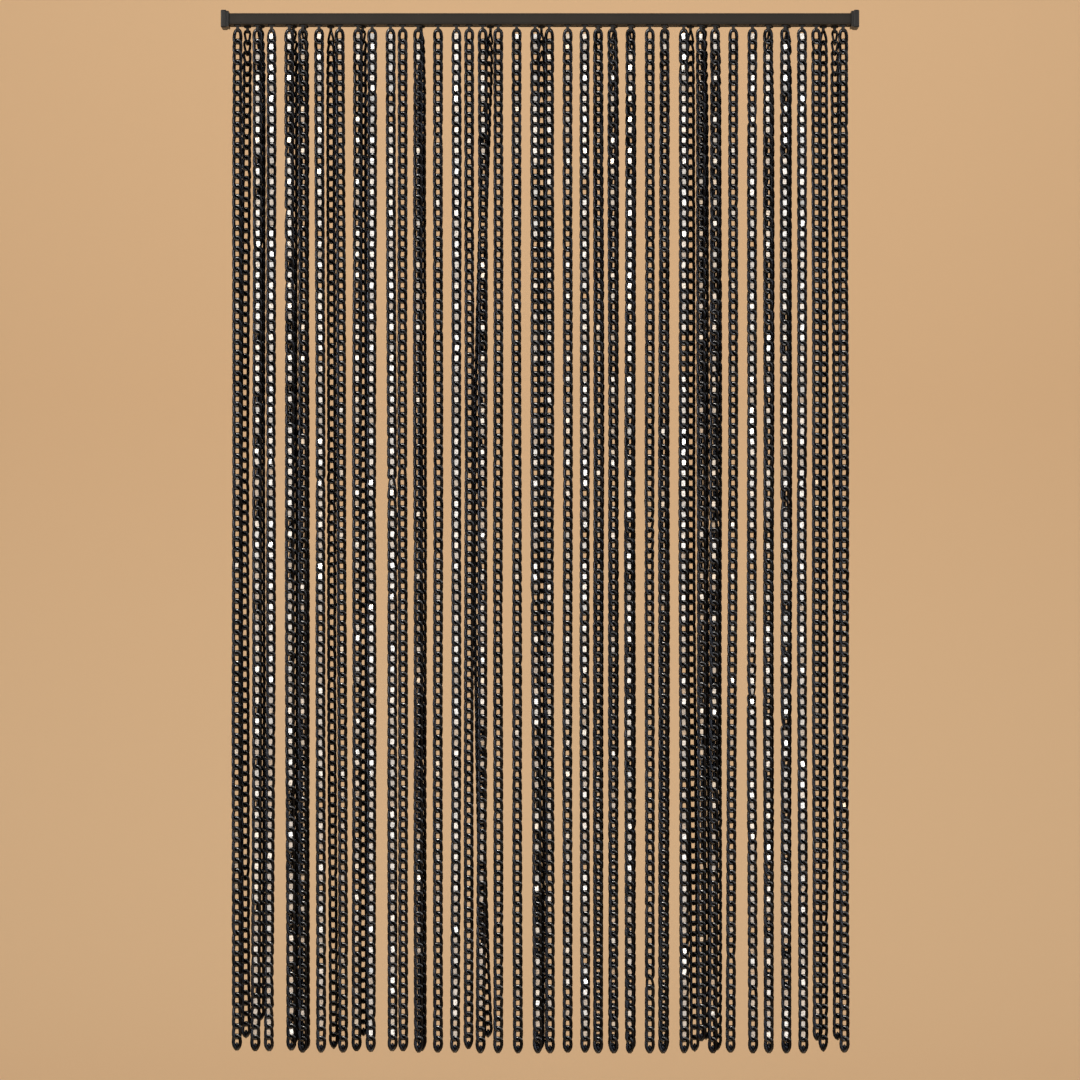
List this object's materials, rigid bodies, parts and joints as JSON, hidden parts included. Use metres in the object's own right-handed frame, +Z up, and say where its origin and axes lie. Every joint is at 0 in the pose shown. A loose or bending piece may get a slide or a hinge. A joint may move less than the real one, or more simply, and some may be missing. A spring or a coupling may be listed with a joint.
{
  "type": "chain bead curtain with head rail",
  "caption": "Door curtain of black metal chain strands with pointed ends, hung in two rows from a slim black head rail with end caps.",
  "frame": {"origin": "centre of the rail's flat back face, on the wall", "axes": "+X along the rail to the viewer's right, +Y from the back face into the wall, +Z up; the curtain's front faces -Y"},
  "size_m": [0.9, 0.034, 1.4735],
  "materials": {
    "rail": "satin black powder coat, faintly warm",
    "cap": "satin black moulding",
    "chain": "glossy black anodised wire with small wear at the contacts",
    "bright": "bright silver beads in the windows of some strands",
    "hanger": "matt black sliding strip"
  },
  "bodies": {
    "root": {"head_rail": "rail", "cap_left": "cap", "cap_right": "cap", "strands_front": "chain", "strands_back": "chain"}
  },
  "joints": []
}
